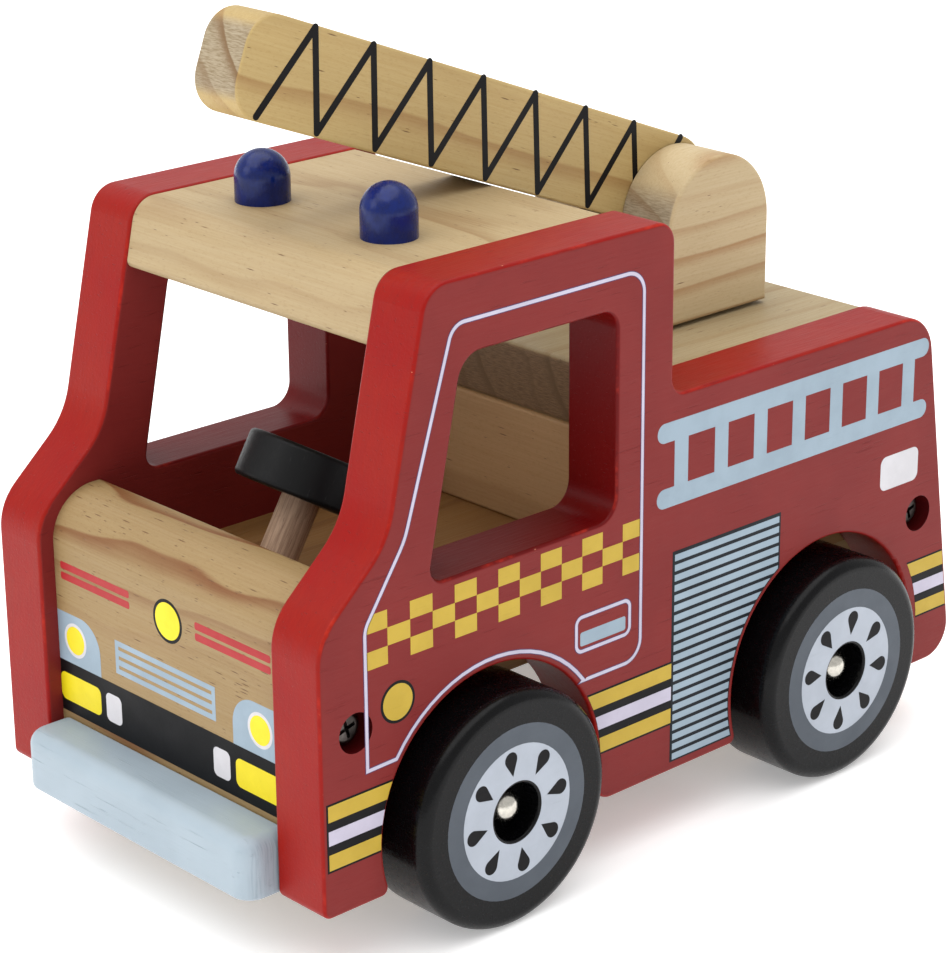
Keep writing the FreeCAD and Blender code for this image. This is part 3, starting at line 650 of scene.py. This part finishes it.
HANDLE = (-22.7, 49.8, -7.6, 57.2)
HANDLE_CORNER = 1.6
HANDLE_BAR = (-21.6, 50.9, -8.8, 53.9)
GRILLE = (4.8, 16.7, 37.8, 63.9)
GRILLE_RIM = (0.7, 0.4, 0.5)       # dark rim in front of, below and behind the slats
GRILLE_SLATS = 21
SLAT_SHARE = 0.64                  # of one slat's pitch, the rest is the gap
STRIPES_BOTTOM = 25.2
STRIPE_EDGE = 0.45
STRIPE_LIFTS = (-0.75, 0.15, 0.9)       # ahead of, between and behind the wheels
STRIPE_ARCHES = (29.6, 29.6, 31.7)
STRIPES = [("yellow", 3.3), ("black", 1.9), ("white", 3.0), ("black", 1.9), ("yellow", 3.3)]
PRINTED_LADDER = (-0.1, 84.9, 74.0, 92.2)      # rear and front ends, bottom and top
LADDER_RAIL = 4.2
LADDER_RUNGS = 7
LADDER_FIRST_RUNG = 4.9
LADDER_RUNG_PITCH = 11.9
LADDER_RUNG_WIDTH = 4.0
REFLECTOR = (70.2, 59.8, 82.9, 67.6)
REFLECTOR_CORNER = 1.8
BADGE_CENTER = (-70.0, 54.3)
BADGE_RADIUS = 4.3
BADGE_RIM = 0.6
REAR_LEAN = 0.1494               # how far the panel's rear edge leans forward, per millimetre
REAR_FOOT = 0.3                  # the straight rear edge meets the sill this far behind the panel's box


def door_outline():
    """Line round the door, closed below by an arc over the front wheel."""
    ends = zip(DOOR_ARCH_ENDS, (DOOR_BOTTOM, DOOR_FRONT_FOOT))
    rear, front = [math.degrees(math.atan2(z - FRONT_AXLE[1], y - FRONT_AXLE[0])) for y, z in ends]
    return rounded(DOOR_CORNERS) + arc(FRONT_AXLE, DOOR_ARCH_RADIUS, rear, front)


def door_front_y(z):
    """Front line of the door at a height, above the corner where it starts to lean."""
    (y0, z0, _), (y1, z1, _) = DOOR_CORNERS[1:3]
    return y0 if z <= z0 else y0 + (y1 - y0) * (z - z0) / (z1 - z0)


def checkers():
    """Three rows of checks, yellow where row and column agree, cut off at the door's lines."""
    shapes = []
    front = CHECKER_REAR - CHECKER_COLUMNS * CHECKER_PITCH[0]
    for column in range(CHECKER_COLUMNS):
        for row in range(3):
            if (row + column) % 2:
                continue
            y0 = front + column * CHECKER_PITCH[0]
            z1 = CHECKER_TOP - row * CHECKER_PITCH[1]
            z0 = z1 - CHECKER_PITCH[1]
            y1 = min(y0 + CHECKER_PITCH[0], DOOR_REAR)
            low = max(y0, door_front_y(z0))
            high = max(y0, door_front_y(z1))
            shapes.append([[(low, z0), (y1, z0), (y1, z1), (high, z1)]])
    return shapes


def stripe_rows(lift):
    """Bottom and top of each stripe with its ink."""
    rows = []
    z = STRIPES_BOTTOM + lift + STRIPE_EDGE
    for color, height in STRIPES:
        rows.append((color, z, z + height))
        z += height
    return rows


def stripes(y0, y1, arch, lift, edge_front):
    """Ink name to shapes for one group of stripes between two ends, cut by a wheel arch."""
    def cut(shape):
        on_panel = cut_to(divided(shape), lambda p: p[0] < panel_rear_y(p[1]))
        return cut_by_arch(on_panel, *arch)

    rows = stripe_rows(lift)
    low, high = STRIPES_BOTTOM + lift, rows[-1][2] + STRIPE_EDGE
    made = {"black": [[cut(rectangle(y0, low, y1, high))]]}
    for color, low, high in rows:
        if color == "black":
            continue
        made.setdefault(color, []).append([cut(rectangle(y0 + edge_front, low, y1, high))])
    return made


def panel_rear_y(z):
    """Rear edge of the printable face, leaning forward with height."""
    return PANEL_HIGH.y + REAR_FOOT - REAR_LEAN * (z - PANEL_LOW.z)


def side_shapes():
    """Everything printed on one side, as (ink, layer, shapes)."""
    door = door_outline()
    layers = [
        ("outline", 1, [ribbon(door, DOOR_LINE + OUTLINE, closed=True)]),
        ("lavender", 2, [ribbon(door, DOOR_LINE, closed=True)]),
        ("dull_yellow", 1, checkers()),
        ("outline", 1, [ribbon(rectangle(*HANDLE, HANDLE_CORNER), DOOR_LINE + OUTLINE, closed=True)]),
        ("lavender", 2, [ribbon(rectangle(*HANDLE, HANDLE_CORNER), DOOR_LINE, closed=True)]),
        ("pale_blue", 1, [[rectangle(*HANDLE_BAR, 0.5)]]),
        ("black", 1, [[circle(BADGE_CENTER, BADGE_RADIUS)]]),
        ("dull_yellow", 2, [[circle(BADGE_CENTER, BADGE_RADIUS - BADGE_RIM)]]),
        ("white", 1, [[rectangle(*REFLECTOR, REFLECTOR_CORNER)]]),
    ]
    # The engine grille: dark ground with pale slats, cut off by the rear wheel arch.
    y0, z0, y1, z1 = GRILLE
    layers.append(("navy", 1, [[cut_by_arch(divided(rectangle(*GRILLE)), REAR_AXLE, ARCH_PRINT_RADIUS)]]))
    front_rim, lower_rim, rear_rim = GRILLE_RIM
    pitch = (z1 - z0 - lower_rim) / GRILLE_SLATS
    slats = []
    for i in range(GRILLE_SLATS):
        low = z0 + lower_rim + i * pitch
        slat = divided(rectangle(y0 + front_rim, low, y1 - rear_rim, low + pitch * SLAT_SHARE))
        slats.append([cut_by_arch(slat, REAR_AXLE, ARCH_PRINT_RADIUS + 0.25)])
    layers.append(("pale_blue", 2, slats))
    # Three groups of stripes: ahead of the front wheel, between the wheels, behind the rear one.
    spans = [
        (PANEL_LOW.y + 1.0, FRONT_AXLE[0], FRONT_AXLE, STRIPE_EDGE),
        (FRONT_AXLE[0], y0 + 0.1, FRONT_AXLE, 0.0),
        (REAR_AXLE[0], PANEL_HIGH.y + 2.0, REAR_AXLE, 0.0),
    ]
    for (start, end, axle, edge_front), lift, radius in zip(spans, STRIPE_LIFTS, STRIPE_ARCHES):
        for color, shapes in stripes(start, end, (axle, radius), lift, edge_front).items():
            inks = {"black": ("black", 1), "yellow": ("dull_yellow", 2), "white": ("lavender", 2)}
            layers.append((*inks[color], shapes))
    # The printed ladder: two rails with round ends and seven rungs.
    start, end, bottom, top = PRINTED_LADDER
    rails = [[rectangle(start, bottom, end, bottom + LADDER_RAIL, LADDER_RAIL * 0.49)],
             [rectangle(start, top - LADDER_RAIL, end, top, LADDER_RAIL * 0.49)]]
    rungs = []
    for i in range(LADDER_RUNGS):
        left = LADDER_FIRST_RUNG + i * LADDER_RUNG_PITCH
        rungs.append([rectangle(left, bottom + LADDER_RAIL, left + LADDER_RUNG_WIDTH, top - LADDER_RAIL)])
    layers.append(("pale_blue", 1, rails + rungs))
    return layers


# ---- Printing on the front board ----
FRONT_LOW, FRONT_HIGH = box_mm("front_board")
FRONT_FACE = FRONT_LOW.y
PRINT_SHIFT = -1.1            # the print sits a little to the right of the board's middle
BAND = (28.95, 40.4)
HEADLAMP_CENTER = (29.95, 45.9)
HEADLAMP_INNER = 21.5
HEADLAMP_TOP = 51.4
HEADLAMP_CORNER = 6.5
HALO_RADIUS = 3.75
BULB_RADIUS = 3.05
VENT = (-16.2, 43.2, 16.2, 50.5)
VENT_SLOTS = 3
VENT_RIM = 1.1
VENT_SLOT_SHARE = 0.76             # of one bar's height
BAND_LAMP = (22.0, 31.5, 37.0, 37.7)
BAND_SIDELIGHT = (15.0, 31.5, 20.2, 37.8)
PINSTRIPE = (10.6, 33.8)
PINSTRIPE_ROWS = ((58.7, 60.3), (61.0, 62.6))
FRONT_BADGE = (0.8, 60.0)
FRONT_BADGE_RADIUS = 4.6
FRONT_BADGE_RIM = 0.7


def front_shapes():
    """Everything printed on the front board, as (ink, layer, shapes)."""
    half = FRONT_HIGH.x - 0.05

    def at(u):
        return max(-half, min(half, u + PRINT_SHIFT))

    def both(u0, v0, u1, v1, radius):
        return [[rectangle(at(u0), v0, at(u1), v1, radius)], [rectangle(at(-u1), v0, at(-u0), v1, radius)]]

    def inside_board(p):
        return abs(p[0]) < half

    lamps, halos, bulbs = [], [], []
    for side in (-1, 1):
        edge = side * half
        inner = side * HEADLAMP_INNER + PRINT_SHIFT
        lamp = [(inner, BAND[1], 0), (inner, HEADLAMP_TOP, HEADLAMP_CORNER)]
        lamps.append([rounded(lamp + [(edge, HEADLAMP_TOP, 0), (edge, BAND[1], 0)])])
        center = (side * HEADLAMP_CENTER[0] + PRINT_SHIFT, HEADLAMP_CENTER[1])
        halos.append([cut_to(circle(center, HALO_RADIUS), inside_board)])
        bulbs.append([cut_to(circle(center, BULB_RADIUS), inside_board)])
    start, end = VENT[0] + PRINT_SHIFT, VENT[2] + PRINT_SHIFT
    bar = (VENT[3] - VENT[1]) / (2 * VENT_SLOTS + 1)
    slots = []
    for i in range(VENT_SLOTS):
        low = VENT[1] + bar * (2 * i + 1) + bar * (1 - VENT_SLOT_SHARE) / 2
        slots.append(rectangle(start + VENT_RIM, low, end - VENT_RIM, low + bar * VENT_SLOT_SHARE))
    vent = rectangle(start, VENT[1], end, VENT[3])
    lines = []
    for low, high in PINSTRIPE_ROWS:
        lines += both(PINSTRIPE[0], low, PINSTRIPE[1], high, 0.5)
    return [
        ("black", 1, [[rectangle(-half, BAND[0], half, BAND[1])]]),
        ("bright_yellow", 2, both(*BAND_LAMP, 1.5)),
        ("white", 2, both(*BAND_SIDELIGHT, 1.3)),
        ("pale_blue", 1, lamps),
        ("white", 2, halos),
        ("bright_yellow", 3, bulbs),
        ("pale_blue", 1, [[vent] + slots]),
        ("red", 1, lines),
        ("black", 1, [[circle(FRONT_BADGE, FRONT_BADGE_RADIUS)]]),
        ("bright_yellow", 2, [[circle(FRONT_BADGE, FRONT_BADGE_RADIUS - FRONT_BADGE_RIM)]]),
    ]


# ---- Printing on the wheels and the ladder ----
RIM_RADIUS = 18.4
DISC_RADIUS = 14.3
DISC_HOLE = 6.6
SPOKE_SLOTS = 8
SLOT_TIP = 8.1
SLOT_END = 13.5
SLOT_HALF_WIDTH = 1.62
SLOT_PHASE = {"front_left": 8.0, "rear_left": 36.0, "front_right": 31.0, "rear_right": 3.0}


def teardrop(center, angle):
    """Drop with its point towards the hub."""
    middle = SLOT_END - SLOT_HALF_WIDTH
    lean = math.degrees(math.acos(SLOT_HALF_WIDTH / (middle - SLOT_TIP)))
    around = arc((middle, 0), SLOT_HALF_WIDTH, 180 - lean, lean - 180)
    points = [(SLOT_TIP, 0)] + around
    c, s = math.cos(math.radians(angle)), math.sin(math.radians(angle))
    return [(center[0] + u * c - v * s, center[1] + u * s + v * c) for u, v in points]


def wheel_shapes(center, phase):
    """Grey ring, silver disc and its eight drop-shaped slots, turned by a phase in degrees."""
    drops = [[teardrop(center, phase + i * 360 / SPOKE_SLOTS)] for i in range(SPOKE_SLOTS)]
    return [
        ("slate", 1, [[circle(center, RIM_RADIUS), circle(center, DISC_RADIUS - 0.2)]]),
        ("silver", 2, [[circle(center, DISC_RADIUS), circle(center, DISC_HOLE)]]),
        ("black", 3, drops),
    ]


PIVOT = (box_mm("ladder_pivot_dowel")[0] + box_mm("ladder_pivot_dowel")[1]) / 2
TRUSS_LINE = 1.55
TRUSS_BOTTOM = -9.3
TRUSS_TOP = 9.8
TRUSS_BOTTOM_START = 118.4
TRUSS_BOTTOM_PITCH = 15.75
TRUSS_TOP_START = 109.6
TRUSS_TOP_PITCH = 15.5
TRUSS_BAYS = 8


def truss_shapes():
    """Zigzag line along the ladder, from the bottom of the tip back to the pivot."""
    points = []
    for i in range(TRUSS_BAYS):
        points.append((TRUSS_BOTTOM_START - i * TRUSS_BOTTOM_PITCH, TRUSS_BOTTOM))
        points.append((TRUSS_TOP_START - i * TRUSS_TOP_PITCH, TRUSS_TOP))
    lines = [ribbon([a, b], TRUSS_LINE) for a, b in zip(points, points[1:])]
    joints = [[circle(p, TRUSS_LINE / 2)] for p in points]
    return lines[0::2], lines[1::2], joints


def print_everything(inks):
    """Lays all the printing on the panels, the front board, the wheels and the ladder."""
    def lay(prefix, layers, place, body):
        for number, (color, layer, shapes) in enumerate(layers):
            name = f"{prefix}_{number:02d}_{color}"
            printed(name, shapes, place, layer, inks[color], body)

    for side, sign in (("left", 1), ("right", -1)):
        def on_panel(u, v, height, sign=sign):
            return Vector((sign * (FACE_X + height), u, v))
        lay(side + "_print", side_shapes(), on_panel, "chassis")

    def on_front(u, v, height):
        return Vector((u, FRONT_FACE - height, v))
    lay("front_print", front_shapes(), on_front, "chassis")

    for end, center in (("front", FRONT_AXLE), ("rear", REAR_AXLE)):
        for side, sign in (("left", 1), ("right", -1)):
            low, high = box_mm(f"{end}_{side}_wheel")
            face = max(abs(low.x), abs(high.x))

            def on_wheel(u, v, height, sign=sign, face=face):
                return Vector((sign * (face + height), u, v))
            layers = wheel_shapes(center, SLOT_PHASE[f"{end}_{side}"])
            body = f"{end}_{side}_wheel_body"
            lay(f"{end}_{side}_wheel_print", layers, on_wheel, body)

    face = box_mm("ladder")[1].x
    rising, falling, joints = truss_shapes()
    for side, sign in (("left", 1), ("right", -1)):
        def on_ladder(s, n, height, sign=sign):
            spot = PIVOT + LADDER_ALONG * s + LADDER_ACROSS * n
            return Vector((sign * (face + height), spot.y, spot.z))
        layers = [("black", 1, rising), ("black", 1.1, falling), ("black", 1.2, joints)]
        lay(f"ladder_{side}_print", layers, on_ladder, "ladder_bar")


# ---- Floor and light ----
def add_stage():
    """Pale sheet, white surroundings, one broad light overhead and a weaker one in front."""
    bpy.ops.mesh.primitive_plane_add(size=8.0)
    floor = bpy.context.object
    floor.name = "floor"
    r = Recipe("floor")
    cloud = r.noise(r.mm, 0.004, detail=2.0)
    color = r.mix(cloud, (0.97, 0.97, 0.97, 1), (0.96, 0.96, 0.96, 1))
    # A little light comes up through the sheet, as on a light table.
    white = (1.0, 1.0, 1.0, 1.0)
    floor.data.materials.append(r.finish(color, 0.8, Emission_Color=white, Emission_Strength=0.30))
    floor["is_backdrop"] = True

    scene = bpy.context.scene
    scene.view_settings.view_transform = "Standard"
    world = bpy.data.worlds.new("studio")
    scene.world = world
    world.use_nodes = True
    background = world.node_tree.nodes["Background"]
    background.inputs["Color"].default_value = (1.0, 1.0, 1.0, 1.0)
    background.inputs["Strength"].default_value = 0.80

    def broad_light(name, toward, strength, spread):
        data = bpy.data.lights.new(name, "SUN")
        data.energy = strength
        data.angle = math.radians(spread)
        light = bpy.data.objects.new(name, data)
        light.rotation_euler = Vector(toward).to_track_quat("Z", "Y").to_euler()
        bpy.context.collection.objects.link(light)

    broad_light("overhead", (-0.08, -0.12, 1.0), 2.3, 80)
    broad_light("front", (-0.45, -1.0, 0.55), 0.36, 30)


add_camera()
paint_frame()
print_everything({
    "lavender": ink("lavender", srgb(192, 186, 204)),
    "outline": ink("outline", srgb(78, 50, 92)),
    "dull_yellow": ink("dull_yellow", srgb(188, 158, 48)),
    "bright_yellow": ink("bright_yellow", srgb(232, 212, 22)),
    "pale_blue": ink("pale_blue", srgb(146, 164, 178)),
    "white": ink("white", srgb(206, 204, 208)),
    "black": ink("black", srgb(13, 12, 14), sheen=0.12),
    "navy": ink("navy", srgb(14, 20, 27), sheen=0.15),
    "red": ink("red", srgb(168, 32, 36)),
    "slate": ink("slate", srgb(74, 81, 90)),
    "silver": ink("silver", srgb(172, 179, 190), 0.36),
})
add_stage()

sizes = {"cad": cad_box, "visual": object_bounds()}
{k: [list(map(float, corner)) for corner in v] for k, v in sizes.items()}
